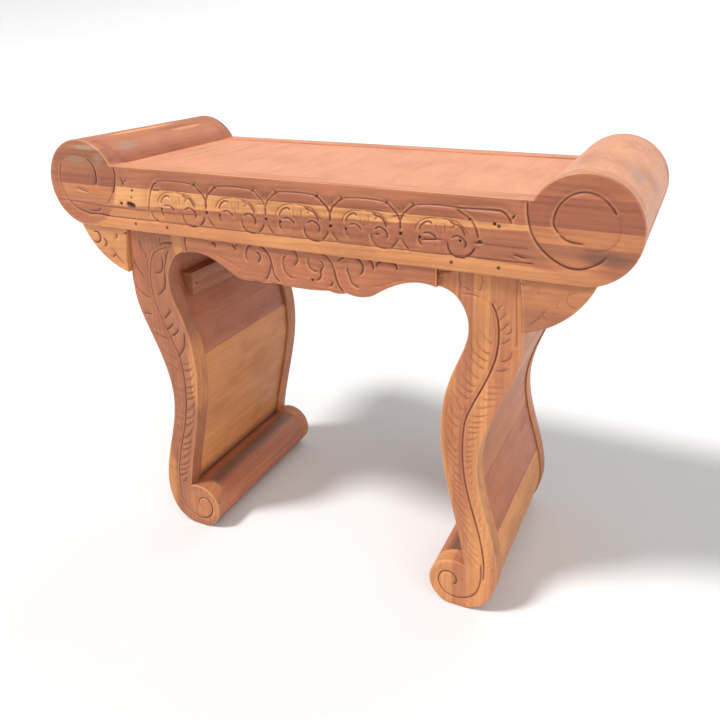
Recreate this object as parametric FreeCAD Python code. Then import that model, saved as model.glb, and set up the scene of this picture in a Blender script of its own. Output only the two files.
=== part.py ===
"""Scroll-ended kneeling bench in solid teak, built up from planed boards.

Two long rails with scroll-shaped ends carry everything. Between them run the
boards of the top and, at each end, a hollow roll of staves. Each leg is a
hollow S-curved box: a front and a back board, joined by a skin of two planks
inside and a skin of five slats outside, standing on a solid foot roll.

Frame: +X along the bench, +Y to its back, +Z up, in millimetres. The origin
is on the floor, under the middle of the bench.
"""

import FreeCAD
import Part
import math
import os

# Overall sizes
BENCH_LENGTH = 800.0  # over both scrolls
BENCH_DEPTH = 280.0  # over the faces of both rails
LEG_HEIGHT = 470.0  # floor to the underside of the rails

# Rails and their scroll ends
RAIL_THICK = 24.0
RAIL_HEIGHT = 88.0
SCROLL_RADIUS = 60.0

# Boards of the top
TOP_BOARD_COUNT = 5
TOP_THICK = 18.0
TOP_RECESS = 1.5  # the top lies this far below the rails' upper edge
TONGUE_LENGTH = 6.0
TONGUE_THICK = 6.0
LEDGER_SIDE = 20.0  # square battens under the ends of the top boards

# Rolls at the ends of the top
STAVE_COUNT = 6
STAVE_THICK = 14.0
FORMER_THICK = 18.0  # discs inside each end of a roll

# Legs
LEG_THICK = 24.0
FRONT_LEG_RECESS = 10.0  # behind the front rail's face
FOOT_FROM_SCROLL = 74.0  # from the scroll's inner side to the foot roll's axis
LEG_TOP_INWARD = 26.0  # from the foot's axis to the inner side of the leg's top
FOOT_RADIUS = 35.0
FOOT_FLAT = 0.8  # planed off under the foot, so that it stands
FOOT_SPIGOT_RADIUS = 12.0
FOOT_SPIGOT_LENGTH = 12.0
SKIN_THICK = 12.0
SKIN_RECESS = 2.0  # the outer skin lies this far inside the leg boards' edge
HOUSING_DEPTH = 6.0  # grooves in the leg boards that hold the skins' ends
INNER_SEAMS = (0.60, 0.81)  # the joints between planks, at shares of the leg's height
OUTER_SEAMS = (0.23, 0.39, 0.60, 0.79)
CLEAT_BELOW_RAIL = 70.0
CLEAT_HEIGHT = 34.0
CLEAT_THICK = 9.0
CLEAT_END_GAP = 14.0  # between the cleat's end and the leg board
BEARER_WIDTH = 46.0  # the bearer over each leg, flush with the inner skin

# Tenons on the leg boards, pinned in the rails
TENON_THICK = 8.0
TENON_HEIGHT = 40.0
TENON_SHOULDER_IN = 6.0
TENON_SHOULDER_OUT = 10.0

# Carved boards under the rails
APRON_RECESS = 4.0  # behind the rail's face; the backs are flush
APRON_DROP = 50.0
ARCH_DROP = 24.0  # below the rail where the apron meets the leg
BRACKET_LENGTH = 82.0
BRACKET_DROP = 65.0
BRACKET_BELLY = (0.67, 0.57)  # a point of its curve, as shares of its length and drop
BLOCK_LENGTH = 22.0  # glue blocks behind the aprons and brackets
BLOCK_WIDTH = 20.0
BLOCK_BELOW = 22.0
BLOCK_ABOVE = 8.0
BLOCK_PLACES = (-0.67, 0.0, 0.67)  # along the apron, at shares of its half length
BLOCK_OUTSIDE_LEG = 8.0  # from the leg's top to the block behind a bracket

# Nails
NAIL_RADIUS = 1.3
NAIL_HEAD_RADIUS = 2.1
NAIL_HEAD_THICK = 1.0
NAIL_SET = 1.0  # the heads are punched this far below the surface
TENON_NAIL_LENGTH = 21.0
TENON_NAIL_RISE = 10.0  # above the rail's underside
TENON_NAIL_INSET = 13.0  # from the tenon's sides
BEARER_NAIL_LENGTH = 45.0
BEARER_NAIL_DROP = 12.0  # below the top boards
CLEAT_NAIL_LENGTH = 20.0
CLEAT_NAIL_INSET = 9.0  # from the cleat's ends

# Fits
FIT = 0.2  # clearance around tenons, spigots and housed ends
SCRIBE_GAP = 0.3  # between the top's end boards and the rolls
EASED_EDGE = 0.6  # small chamfer along the joints between the planks of the legs

# The leg's S: how far each edge lies outside the foot's axis, at a share of
# the leg's height
OUTER_EDGE = (
    (56.0, 0.155), (44.0, 0.278), (26.5, 0.468), (52.0, 0.660),
    (73.0, 0.780), (75.5, 0.850), (74.5, 0.920), (70.0, 1.0),
)
INNER_EDGE = ((13.5, 0.150), (-4.0, 0.319), (-21.5, 0.560), (-6.0, 0.728), (11.0, 0.862), (-5.0, 0.930))
INNER_SKIN = (
    (16.0, 0.150), (-0.5, 0.319), (-18.0, 0.560), (0.0, 0.728),
    (20.0, 0.840), (23.0, 0.920), (23.0, 1.0),
)
FOOT_SWEEP = ((23.0, 3.0), (40.0, 14.0), (53.0, 38.0))  # the outer edge under the foot: out, height

# The apron's lower edge: share of its half length, height above its lowest line
APRON_LOBES = (
    ((-0.222, 2.5), (0.0, 0.0), (0.222, 2.5)),
    ((0.222, 2.5), (0.292, 0.5), (0.361, 2.5)),
    ((0.361, 2.5), (0.444, 0.2), (0.556, 4.5)),
)
APRON_RISE = ((0.556, 4.5), (0.689, 19.0), (0.822, 27.5))

SKIN_SAMPLES = 16
RUN_ON = 6.0  # the skins are drawn this far past the leg's top, then cut level
TOLERANCE = 0.01

# What follows from them
APRON_THICK = RAIL_THICK - APRON_RECESS
HALF_DEPTH = BENCH_DEPTH / 2
SCROLL_CENTRE = BENCH_LENGTH / 2 - SCROLL_RADIUS
SCROLL_AXIS_Z = LEG_HEIGHT + SCROLL_RADIUS
RAIL_TOP = LEG_HEIGHT + RAIL_HEIGHT
FOOT_CENTRE = BENCH_LENGTH / 2 - 2 * SCROLL_RADIUS - FOOT_FROM_SCROLL
LEG_TOP_INSIDE = FOOT_CENTRE - LEG_TOP_INWARD
LEG_TOP_OUTSIDE = FOOT_CENTRE + OUTER_EDGE[-1][0]
TENON_INSIDE = LEG_TOP_INSIDE + TENON_SHOULDER_IN
TENON_OUTSIDE = LEG_TOP_OUTSIDE - TENON_SHOULDER_OUT
BEARER_INSIDE = FOOT_CENTRE + INNER_SKIN[-1][0]
CLEAT_HIGH = LEG_HEIGHT - CLEAT_BELOW_RAIL
CLEAT_LOW = CLEAT_HIGH - CLEAT_HEIGHT
INSIDE_DEPTH = BENCH_DEPTH - 2 * RAIL_THICK
TOP_SURFACE = RAIL_TOP - TOP_RECESS
TOP_UNDERSIDE = TOP_SURFACE - TOP_THICK
FOOT_AXIS_Z = FOOT_RADIUS - FOOT_FLAT
LEG_FRONTS = {"front": -HALF_DEPTH + FRONT_LEG_RECESS, "back": HALF_DEPTH - LEG_THICK}
LEG_GAP_FROM = LEG_FRONTS["front"] + LEG_THICK
LEG_GAP_TO = LEG_FRONTS["back"]
TOP_HALF_LENGTH = SCROLL_CENTRE - math.sqrt(SCROLL_RADIUS**2 - (TOP_SURFACE - SCROLL_AXIS_Z) ** 2)
SIDES = {"left": -1, "right": 1}
Y_AXIS = FreeCAD.Vector(0, 1, 0)


def point(x, z, y=0.0):
    return FreeCAD.Vector(x, y, z)


def box(x, y, z):
    """A box from three (low, high) pairs."""
    size = [high - low for low, high in (x, y, z)]
    return Part.makeBox(*size, FreeCAD.Vector(x[0], y[0], z[0]))


def cylinder_y(x, z, radius, y_from, y_to):
    return Part.makeCylinder(radius, y_to - y_from, point(x, z, y_from), Y_AXIS)


def extrude_y(edges, y_from, y_to):
    """A solid from the edges of a closed outline in the XZ plane."""
    face = Part.Face(Part.Wire(edges))
    face.translate(FreeCAD.Vector(0, y_from, 0))
    return face.extrude(FreeCAD.Vector(0, y_to - y_from, 0))


def line(a, b):
    return Part.LineSegment(a, b).toShape()


def arc(a, through, b):
    return Part.Arc(a, through, b).toShape()


def spline(points):
    """A smooth curve through the points."""
    curve = Part.BSplineCurve()
    curve.interpolate(points)
    return curve


def on_side(shape, side):
    """The shape, or its mirror image for the left side."""
    return shape if side == "right" else shape.mirror(FreeCAD.Vector(0, 0, 0), FreeCAD.Vector(1, 0, 0))


def ease_seams(solid, heights):
    """A small chamfer on the edges that run from front to back at these heights."""
    depth = solid.BoundBox.YLength
    picked = []
    for edge in solid.Edges:
        runs_back = edge.BoundBox.YLength > depth - TOLERANCE and edge.Length < depth + TOLERANCE
        z = edge.CenterOfMass.z
        if runs_back and any(abs(z - h) < TOLERANCE for h in heights):
            picked.append(edge)
    return solid.makeChamfer(EASED_EDGE, picked)


# --- Legs -------------------------------------------------------------------


def leg_points(edge):
    return [point(FOOT_CENTRE + out, share * LEG_HEIGHT) for out, share in edge]


def outer_curve():
    """The leg's outer edge, from under the foot up to the rail."""
    start = point(FOOT_CENTRE, FOOT_AXIS_Z - FOOT_RADIUS)
    sweep = [point(FOOT_CENTRE + out, z) for out, z in FOOT_SWEEP]
    return spline([start] + sweep + leg_points(OUTER_EDGE))


def inner_curve():
    """The leg's inner edge, from the foot scroll up to the arch at the apron."""
    low = foot_top_at(INNER_EDGE[0][0])
    arch = point(LEG_TOP_INSIDE, LEG_HEIGHT - ARCH_DROP)
    return spline([low] + leg_points(INNER_EDGE[1:]) + [arch])


def foot_top_at(out):
    """The point on top of the foot scroll that lies this far outside its axis."""
    return point(FOOT_CENTRE + out, FOOT_AXIS_Z + math.sqrt(FOOT_RADIUS**2 - out**2))


def offset_points(curve, distance):
    """Points along a curve, moved sideways to its left by the distance."""
    first, last = curve.FirstParameter, curve.LastParameter
    moved = []
    for i in range(SKIN_SAMPLES + 1):
        t = first + (last - first) * i / SKIN_SAMPLES
        direction = curve.tangent(t)[0].normalize()
        moved.append(curve.value(t) + point(-direction.z, direction.x) * distance)
    return moved + [moved[-1] + direction * RUN_ON]


def skin_band(near, far, y_from, y_to):
    """The solid between two open curves that run the same way."""
    a, b = spline(near), spline(far)
    edges = [a.toShape(), line(near[-1], far[-1]), b.toShape(), line(far[0], near[0])]
    return extrude_y(Part.sortEdges(edges)[0], y_from, y_to)


def slab(y_from, y_to, low=0.0, high=LEG_HEIGHT):
    """The space around the right leg between two heights."""
    return box((0, SCROLL_CENTRE), (y_from, y_to), (low, high))


def outer_skin(y_from, y_to, grow=0.0):
    """The outer skin as one band, thicker all round by grow for its housing."""
    curve = outer_curve()
    near = offset_points(curve, SKIN_RECESS - grow)
    far = offset_points(curve, SKIN_RECESS + SKIN_THICK + grow)
    band = skin_band(near, far, y_from, y_to)
    foot = cylinder_y(FOOT_CENTRE, FOOT_AXIS_Z, FOOT_RADIUS - grow, y_from, y_to)
    return band.cut(foot).common(slab(y_from, y_to))


def inner_skin(y_from, y_to, grow=0.0):
    """The inner skin as one band, thicker all round by grow for its housing."""
    low = foot_top_at(INNER_SKIN[0][0])
    curve = spline([low] + leg_points(INNER_SKIN[1:]))
    near = offset_points(curve, grow)
    far = offset_points(curve, -SKIN_THICK - grow)
    band = skin_band(near, far, y_from, y_to)
    foot = cylinder_y(FOOT_CENTRE, FOOT_AXIS_Z, FOOT_RADIUS - grow, y_from, y_to)
    return band.cut(foot).common(slab(y_from, y_to))


def leg_board(place):
    """One S-shaped board with its foot scroll, tenon, housings and spigot hole."""
    y_from = LEG_FRONTS[place]
    y_to = y_from + LEG_THICK
    bottom = point(FOOT_CENTRE, FOOT_AXIS_Z - FOOT_RADIUS)
    inside = point(FOOT_CENTRE - FOOT_RADIUS, FOOT_AXIS_Z)
    scroll_top = foot_top_at(INNER_EDGE[0][0])
    arch = point(LEG_TOP_INSIDE, LEG_HEIGHT - ARCH_DROP)
    top_inside = point(LEG_TOP_INSIDE, LEG_HEIGHT)
    top_outside = point(LEG_TOP_OUTSIDE, LEG_HEIGHT)
    outline = [
        outer_curve().toShape(),
        line(top_outside, top_inside),
        line(top_inside, arch),
        inner_curve().toShape(),
        arc(scroll_top, inside, bottom),
    ]
    board = extrude_y(Part.sortEdges(outline)[0], y_from, y_to)
    board = board.common(slab(y_from, y_to))

    tenon_y = tenon_range(place)
    tenon_z = (LEG_HEIGHT, LEG_HEIGHT + TENON_HEIGHT)
    board = board.fuse(box((TENON_INSIDE, TENON_OUTSIDE), tenon_y, tenon_z))

    if place == "front":
        groove = (y_to - HOUSING_DEPTH - FIT, y_to)
        spigot = (y_to - FOOT_SPIGOT_LENGTH - FIT, y_to)
    else:
        groove = (y_from, y_from + HOUSING_DEPTH + FIT)
        spigot = (y_from, y_from + FOOT_SPIGOT_LENGTH + FIT)
    board = board.cut(outer_skin(*groove, grow=FIT)).cut(inner_skin(*groove, grow=FIT))
    spigot_hole = cylinder_y(FOOT_CENTRE, FOOT_AXIS_Z, FOOT_SPIGOT_RADIUS + FIT, *spigot)
    return board.cut(spigot_hole).removeSplitter()


def rail_range(place):
    if place == "front":
        return -HALF_DEPTH, -HALF_DEPTH + RAIL_THICK
    return HALF_DEPTH - RAIL_THICK, HALF_DEPTH


def tenon_range(place):
    """Where the tenon lies in Y: centred where leg board and rail overlap."""
    near, far = rail_range(place)
    board_near = LEG_FRONTS[place]
    middle = (max(near, board_near) + min(far, board_near + LEG_THICK)) / 2
    return middle - TENON_THICK / 2, middle + TENON_THICK / 2


def foot_roll():
    """The solid roll between the leg boards, with a spigot at each end."""
    roll = cylinder_y(FOOT_CENTRE, FOOT_AXIS_Z, FOOT_RADIUS, LEG_GAP_FROM, LEG_GAP_TO)
    spigots = cylinder_y(
        FOOT_CENTRE, FOOT_AXIS_Z, FOOT_SPIGOT_RADIUS,
        LEG_GAP_FROM - FOOT_SPIGOT_LENGTH, LEG_GAP_TO + FOOT_SPIGOT_LENGTH,
    )
    return roll.fuse(spigots).common(slab(-HALF_DEPTH, HALF_DEPTH))


def skin_slats(skin, seams):
    """A skin cut into slats at the seam heights, lowest first."""
    y_from, y_to = LEG_GAP_FROM - HOUSING_DEPTH, LEG_GAP_TO + HOUSING_DEPTH
    band = skin(y_from, y_to)
    joints = [share * LEG_HEIGHT for share in seams]
    heights = [0, *joints, LEG_HEIGHT]
    return [
        ease_seams(band.common(slab(y_from, y_to, low, high)).Solids[0], joints)
        for low, high in zip(heights[:-1], heights[1:])
    ]


def cleat():
    """A batten nailed along the inner planks, just under the top."""
    y = (LEG_GAP_FROM + CLEAT_END_GAP, LEG_GAP_TO - CLEAT_END_GAP)
    skin = inner_skin(*y)
    face = skin.common(slab(*y, CLEAT_LOW, CLEAT_HIGH)).BoundBox
    blank = box((face.XMin - CLEAT_THICK, face.XMax), y, (CLEAT_LOW, CLEAT_HIGH))
    pieces = sorted(blank.cut(skin).Solids, key=lambda s: s.BoundBox.XMin)
    return pieces[0]


def bearer():
    """The beam over each leg, from rail to rail, under the top boards."""
    x = (BEARER_INSIDE, BEARER_INSIDE + BEARER_WIDTH)
    y = (-HALF_DEPTH + RAIL_THICK, HALF_DEPTH - RAIL_THICK)
    return box(x, y, (LEG_HEIGHT, TOP_UNDERSIDE))


# --- Top ---------------------------------------------------------------------


def rail(place):
    """A long board with a round scroll at each end and mortises for the legs."""
    y = rail_range(place)
    body = box((-SCROLL_CENTRE, SCROLL_CENTRE), y, (LEG_HEIGHT, RAIL_TOP))
    tenon_y = tenon_range(place)
    mortise = box(
        (TENON_INSIDE - FIT, TENON_OUTSIDE + FIT),
        (tenon_y[0] - FIT, tenon_y[1] + FIT),
        (LEG_HEIGHT, LEG_HEIGHT + TENON_HEIGHT + FIT),
    )
    for side in SIDES:
        scroll = cylinder_y(SCROLL_CENTRE, SCROLL_AXIS_Z, SCROLL_RADIUS, *y)
        body = body.fuse(on_side(scroll, side)).cut(on_side(mortise, side))
    return body.removeSplitter()


def top_boards():
    """The boards of the top, which run from front to back, left to right."""
    width = 2 * TOP_HALF_LENGTH / TOP_BOARD_COUNT
    y = (-INSIDE_DEPTH / 2, INSIDE_DEPTH / 2)
    boards = []
    for i in range(TOP_BOARD_COUNT):
        low = -TOP_HALF_LENGTH + i * width
        board = box((low, low + width), y, (TOP_UNDERSIDE, TOP_SURFACE))
        middle = (TOP_UNDERSIDE + TOP_SURFACE) / 2
        tongue_z = (middle - TONGUE_THICK / 2, middle + TONGUE_THICK / 2)
        groove_z = (tongue_z[0] - FIT, tongue_z[1] + FIT)
        if i > 0:
            board = board.cut(box((low, low + TONGUE_LENGTH + FIT), y, groove_z))
        if i < TOP_BOARD_COUNT - 1:
            board = board.fuse(box((low + width, low + width + TONGUE_LENGTH), y, tongue_z))
        for side in SIDES:
            roll = cylinder_y(SCROLL_CENTRE, SCROLL_AXIS_Z, SCROLL_RADIUS + SCRIBE_GAP, *y)
            board = board.cut(on_side(roll, side))
        boards.append(board)
    return boards


def ledgers():
    """The battens along both rails that carry the ends of the top boards."""
    x = (-BEARER_INSIDE, BEARER_INSIDE)
    z = (TOP_UNDERSIDE - LEDGER_SIDE, TOP_UNDERSIDE)
    end = INSIDE_DEPTH / 2
    ys = ((-end, -end + LEDGER_SIDE), (end - LEDGER_SIDE, end))
    return Part.makeCompound([box(x, y, z) for y in ys])


def roll_staves():
    """The staves of the right-hand roll, each a slice of a hollow cylinder."""
    y = (-INSIDE_DEPTH / 2, INSIDE_DEPTH / 2)
    inner = SCROLL_RADIUS - STAVE_THICK

    def at(radius, turn):
        return point(SCROLL_CENTRE + radius * math.cos(turn), SCROLL_AXIS_Z + radius * math.sin(turn))

    staves = []
    for i in range(STAVE_COUNT):
        low, high = (2 * math.pi * (i + k) / STAVE_COUNT for k in (0, 1))
        middle = (low + high) / 2
        outline = [
            arc(at(SCROLL_RADIUS, low), at(SCROLL_RADIUS, middle), at(SCROLL_RADIUS, high)),
            line(at(SCROLL_RADIUS, high), at(inner, high)),
            arc(at(inner, high), at(inner, middle), at(inner, low)),
            line(at(inner, low), at(SCROLL_RADIUS, low)),
        ]
        staves.append(extrude_y(outline, *y))
    return staves


def roll_formers():
    """The two discs inside the ends of the right-hand roll."""
    radius = SCROLL_RADIUS - STAVE_THICK
    end = INSIDE_DEPTH / 2
    front = cylinder_y(SCROLL_CENTRE, SCROLL_AXIS_Z, radius, -end, -end + FORMER_THICK)
    back = cylinder_y(SCROLL_CENTRE, SCROLL_AXIS_Z, radius, end - FORMER_THICK, end)
    return Part.makeCompound([front, back])


# --- Carved boards under the rails --------------------------------------------


def apron_range(place):
    """An apron's or bracket's place in Y, its back flush with the rail's."""
    face = HALF_DEPTH - APRON_RECESS
    return (-face, -face + APRON_THICK) if place == "front" else (face - APRON_THICK, face)


def apron(place):
    """The board between the legs: three low lobes, then an S up to each arch."""

    def on_edge(out, rise):
        return point(out * LEG_TOP_INSIDE, LEG_HEIGHT - APRON_DROP + rise)

    arch = point(LEG_TOP_INSIDE, LEG_HEIGHT - ARCH_DROP)
    lobes = [arc(*(on_edge(*p) for p in lobe)) for lobe in APRON_LOBES]
    lobes.append(spline([on_edge(*p) for p in APRON_RISE] + [arch]).toShape())
    mirrored = [on_side(edge, "left") for edge in lobes[1:]]
    top = point(LEG_TOP_INSIDE, LEG_HEIGHT)
    corners = [arch, top, point(-top.x, top.z), point(-arch.x, arch.z)]
    straight = [line(a, b) for a, b in zip(corners[:-1], corners[1:])]
    return extrude_y(Part.sortEdges(lobes + mirrored + straight)[0], *apron_range(place))


def bracket(place):
    """The rounded bracket outside the right leg, fitted up against the scroll."""
    y = apron_range(place)
    inside = point(LEG_TOP_OUTSIDE, LEG_HEIGHT)
    tip_x = inside.x + BRACKET_LENGTH
    beyond_centre = max(tip_x - SCROLL_CENTRE, 0.0)
    tip = point(tip_x, SCROLL_AXIS_Z - math.sqrt(SCROLL_RADIUS**2 - beyond_centre**2))
    foot = inside - point(0, BRACKET_DROP)
    belly = inside + point(BRACKET_BELLY[0] * BRACKET_LENGTH, -BRACKET_BELLY[1] * BRACKET_DROP)
    body = extrude_y([line(foot, inside), line(inside, tip), arc(tip, belly, foot)], *y)
    scroll = cylinder_y(SCROLL_CENTRE, SCROLL_AXIS_Z, SCROLL_RADIUS, *y)
    rail_body = box((0, SCROLL_CENTRE), y, (LEG_HEIGHT, RAIL_TOP))
    body = body.cut(leg_and_within(*y)).cut(scroll).cut(rail_body)
    return max(body.Solids, key=lambda s: s.Volume)


def leg_and_within(y_from, y_to):
    """The space inside the leg's outer edge, to fit a bracket against it."""
    curve = outer_curve()
    top, bottom = curve.value(curve.LastParameter), curve.value(curve.FirstParameter)
    corners = [top, point(0, LEG_HEIGHT), point(0, bottom.z), bottom]
    edges = [curve.toShape()] + [line(a, b) for a, b in zip(corners[:-1], corners[1:])]
    return extrude_y(Part.sortEdges(edges)[0], y_from, y_to)


def glue_blocks():
    """Blocks in the corners behind the aprons and brackets, against the rails."""
    z = (LEG_HEIGHT - BLOCK_BELOW, LEG_HEIGHT + BLOCK_ABOVE)
    outside = LEG_TOP_OUTSIDE + BLOCK_OUTSIDE_LEG
    inner_face = HALF_DEPTH - RAIL_THICK
    starts = [share * LEG_TOP_INSIDE - BLOCK_LENGTH / 2 for share in BLOCK_PLACES]
    starts += [outside, -outside - BLOCK_LENGTH]
    blocks = []
    for y in ((-inner_face, -inner_face + BLOCK_WIDTH), (inner_face - BLOCK_WIDTH, inner_face)):
        blocks += [box((x, x + BLOCK_LENGTH), y, z) for x in starts]
    return Part.makeCompound(blocks)


# --- Nails ---------------------------------------------------------------------


def nail(head, direction, length):
    """A nail whose head lies just below the surface point it was driven at."""
    start = head + direction * NAIL_SET
    shank = Part.makeCylinder(NAIL_RADIUS, length, start, direction)
    return Part.makeCylinder(NAIL_HEAD_RADIUS, NAIL_HEAD_THICK, start, direction).fuse(shank)


def nail_hole(head, direction, length):
    """The hole that a nail leaves, open to the surface above its head."""
    mouth = Part.makeCylinder(NAIL_HEAD_RADIUS, NAIL_SET + NAIL_HEAD_THICK, head, direction)
    return nail(head, direction, length).fuse(mouth)


def rail_nails():
    """Nails through the rails: two in each tenon, and one into each bearer's end."""
    tenon_z = LEG_HEIGHT + TENON_NAIL_RISE
    bearer_z = TOP_UNDERSIDE - BEARER_NAIL_DROP
    spots = [(TENON_INSIDE + TENON_NAIL_INSET, tenon_z, TENON_NAIL_LENGTH)]
    spots.append((TENON_OUTSIDE - TENON_NAIL_INSET, tenon_z, TENON_NAIL_LENGTH))
    spots.append((BEARER_INSIDE + BEARER_WIDTH / 2, bearer_z, BEARER_NAIL_LENGTH))
    return [
        (point(across * x, z, face * HALF_DEPTH), FreeCAD.Vector(0, -face, 0), length)
        for x, z, length in spots for across in (-1, 1) for face in (-1, 1)
    ]


def cleat_nails():
    """Nails through the cleats into the inner planks, two in each."""
    batten = cleat().BoundBox
    ys = (batten.YMin + CLEAT_NAIL_INSET, batten.YMax - CLEAT_NAIL_INSET)
    return [
        (point(across * batten.XMin, (CLEAT_LOW + CLEAT_HIGH) / 2, y), point(across, 0), CLEAT_NAIL_LENGTH)
        for across in (-1, 1) for y in ys
    ]


def build():
    """All pieces of the bench, by node name."""
    parts = {f"{place}_rail": rail(place) for place in ("front", "back")}
    for i, board in enumerate(top_boards(), 1):
        parts[f"top_board_{i}"] = board
    parts["ledgers"] = ledgers()
    for place in ("front", "back"):
        parts[f"{place}_apron"] = apron(place)
    parts["glue_blocks"] = glue_blocks()

    right_hand = {"roll_formers": roll_formers(), "foot_roll": foot_roll()}
    right_hand["leg_cleat"] = cleat()
    right_hand["leg_bearer"] = bearer()
    for place in ("front", "back"):
        right_hand[f"{place}_leg_board"] = leg_board(place)
        right_hand[f"{place}_bracket"] = bracket(place)
    numbered = {
        "roll_stave": roll_staves(),
        "leg_inner_plank": skin_slats(inner_skin, INNER_SEAMS),
        "leg_outer_slat": skin_slats(outer_skin, OUTER_SEAMS),
    }
    for name, solids in numbered.items():
        for i, solid in enumerate(solids, 1):
            right_hand[f"{name}_{i}"] = solid
    for side in SIDES:
        for name, solid in right_hand.items():
            parts[f"{side}_{name}"] = on_side(solid, side)

    for name, places in (("rail_nails", rail_nails()), ("cleat_nails", cleat_nails())):
        for place in places:
            hole = nail_hole(*place)
            for other, solid in parts.items():
                if solid.BoundBox.intersect(hole.BoundBox) and solid.common(hole).Volume > 0:
                    parts[other] = solid.cut(hole)
        parts[name] = Part.makeCompound([nail(*place) for place in places])
    return parts


def main():
    os.makedirs("parts", exist_ok=True)
    for name, shape in build().items():
        shape.exportStep(f"parts/{name}.step")
        solids, volume = len(shape.Solids), shape.Volume / 1000
        print(f"{name}: {solids} solid(s), valid {shape.isValid()}, {volume:.1f} cm3")


main()
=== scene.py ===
import math
from functools import partial
from typing import NamedTuple

import bmesh
import bpy
import numpy as np
from mathutils import Matrix, Vector


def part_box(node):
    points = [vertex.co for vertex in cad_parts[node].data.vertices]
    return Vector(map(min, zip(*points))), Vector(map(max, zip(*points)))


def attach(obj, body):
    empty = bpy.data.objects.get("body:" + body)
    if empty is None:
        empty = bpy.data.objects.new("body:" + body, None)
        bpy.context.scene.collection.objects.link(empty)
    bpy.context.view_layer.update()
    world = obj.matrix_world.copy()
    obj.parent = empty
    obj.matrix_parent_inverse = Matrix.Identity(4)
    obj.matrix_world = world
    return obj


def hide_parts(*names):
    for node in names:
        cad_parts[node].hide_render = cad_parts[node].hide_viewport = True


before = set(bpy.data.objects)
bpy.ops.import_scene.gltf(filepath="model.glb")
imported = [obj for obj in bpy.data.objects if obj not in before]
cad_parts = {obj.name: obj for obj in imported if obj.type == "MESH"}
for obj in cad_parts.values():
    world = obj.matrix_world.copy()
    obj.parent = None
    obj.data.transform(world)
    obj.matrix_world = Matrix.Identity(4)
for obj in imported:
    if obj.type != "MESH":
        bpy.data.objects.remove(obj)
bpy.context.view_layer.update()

bl_info = {
    "name": "Carved scroll bench",
    "version": (1, 0, 0),
    "blender": (4, 5, 0),
    "location": "View3D > Sidebar > Bench",
    "description": "Carves and finishes the pieces of a scroll-ended teak bench",
    "category": "Object",
}

MM = 0.001
WELD = 0.001 * MM
FLAT = math.radians(0.4)
SHARP = math.radians(40)
SIDES = {"left": -1, "right": 1}

# Places taken from the frame, in metres
RAIL_LOW, RAIL_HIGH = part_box("front_rail")
ROLL_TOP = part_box("right_roll_stave_2")[1].z
SCROLL_RADIUS = (ROLL_TOP - RAIL_LOW.z) / 2
SCROLL_X = RAIL_HIGH.x - SCROLL_RADIUS
SCROLL_Z = ROLL_TOP - SCROLL_RADIUS
RAIL_FACE = RAIL_LOW.y
STAVE_COUNT = 6
UPPER_STAVES = 3  # the staves of a roll's upper half
STAVE_THICK = 14 * MM


def linear(*colour):
    """An everyday 0 to 255 colour as the linear one that a shader takes."""
    shares = [part / 255 for part in colour]
    return tuple(
        share / 12.92 if share <= 0.04045 else ((share + 0.055) / 1.055) ** 2.4
        for share in shares
    )


# ---------------------------------------------------------------- settings


def tone(name, description, *colour):
    """A colour of the timber that a user may change."""
    return bpy.props.FloatVectorProperty(
        name=name, description=description, subtype="COLOR", size=3,
        min=0.0, max=1.0, default=linear(*colour),
    )


def length(name, description, default):
    """A length that a user may change."""
    return bpy.props.FloatProperty(
        name=name, description=description, default=default, min=0.0, unit="LENGTH"
    )


def strength(name, description, default):
    """A light's strength that a user may change."""
    return bpy.props.FloatProperty(name=name, description=description, default=default, min=0.0)


def factor(name, description, default):
    """A share from 0 to 1 that a user may change."""
    return bpy.props.FloatProperty(
        name=name, description=description, default=default, min=0.0, max=1.0, subtype="FACTOR"
    )


class BenchCarving(bpy.types.PropertyGroup):
    """Sizes of the hand carving"""

    cell: length("Mesh step", "Size of the faces on the carved fronts, halved at the cuts", 1.4 * MM)
    depth: length("Groove depth", "How deep a full gouge cut goes", 3.4 * MM)
    width: length("Groove width", "How wide a full gouge cut is", 4.4 * MM)
    leaf: length("Leaf step", "How far each leaf of the vine stands over the next", 2.6 * MM)
    rounding: length("Edge rounding", "Radius worn on to the carved boards' edges", 2.4 * MM)
    easing: length("Plain edge easing", "Radius planed on to the plain boards' edges", 0.8 * MM)


class BenchTimber(bpy.types.PropertyGroup):
    """Colours of the timber and its varnish"""

    red: tone("Red-brown", "Heartwood of the rails and legs", 174, 106, 73)
    gold: tone("Gold", "Sapwood and the plain band", 204, 138, 86)
    sap: tone("Sap", "The brightest sapwood streaks", 222, 158, 100)
    orange: tone("Orange-brown", "Heartwood near the sapwood", 188, 121, 79)
    dark: tone("Dark", "The dark streak along the rail", 163, 102, 70)
    deep: tone("Deep red", "The darkest planks", 153, 88, 62)
    tan: tone("Tan", "Greyish brown planks", 184, 117, 80)
    pink: tone("Pink", "The planed top", 214, 144, 108)
    rose: tone("Rose", "The left roll", 186, 116, 83)
    blush: tone("Blush", "The right roll", 208, 142, 105)
    grey: tone("Grey", "Weathered streaks", 168, 138, 114)
    # A dark brown for a knot, a spot on the right scroll, and a darker band where the foot rolls and
    # lowest planks meet
    dark_brown: tone("Dirt", "Dust rubbed into the corners", 120, 80, 62)
    # Lightens worn edges and the lip beside each cut: real rubbing, with a painted highlight
    worn: tone("Worn", "Edges worn bright", 228, 168, 120)
    # Darkens the bottoms of the cuts: staining settled in them, together with painted shade
    stain_and_shade: tone("Groove shade", "What the grooves' bottoms are multiplied by", 154, 98, 70)
    roughness: factor("Roughness", "Roughness of the varnished timber", 0.52)
    varnish: factor("Varnish", "Weight of the clear coat", 0.06)


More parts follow.
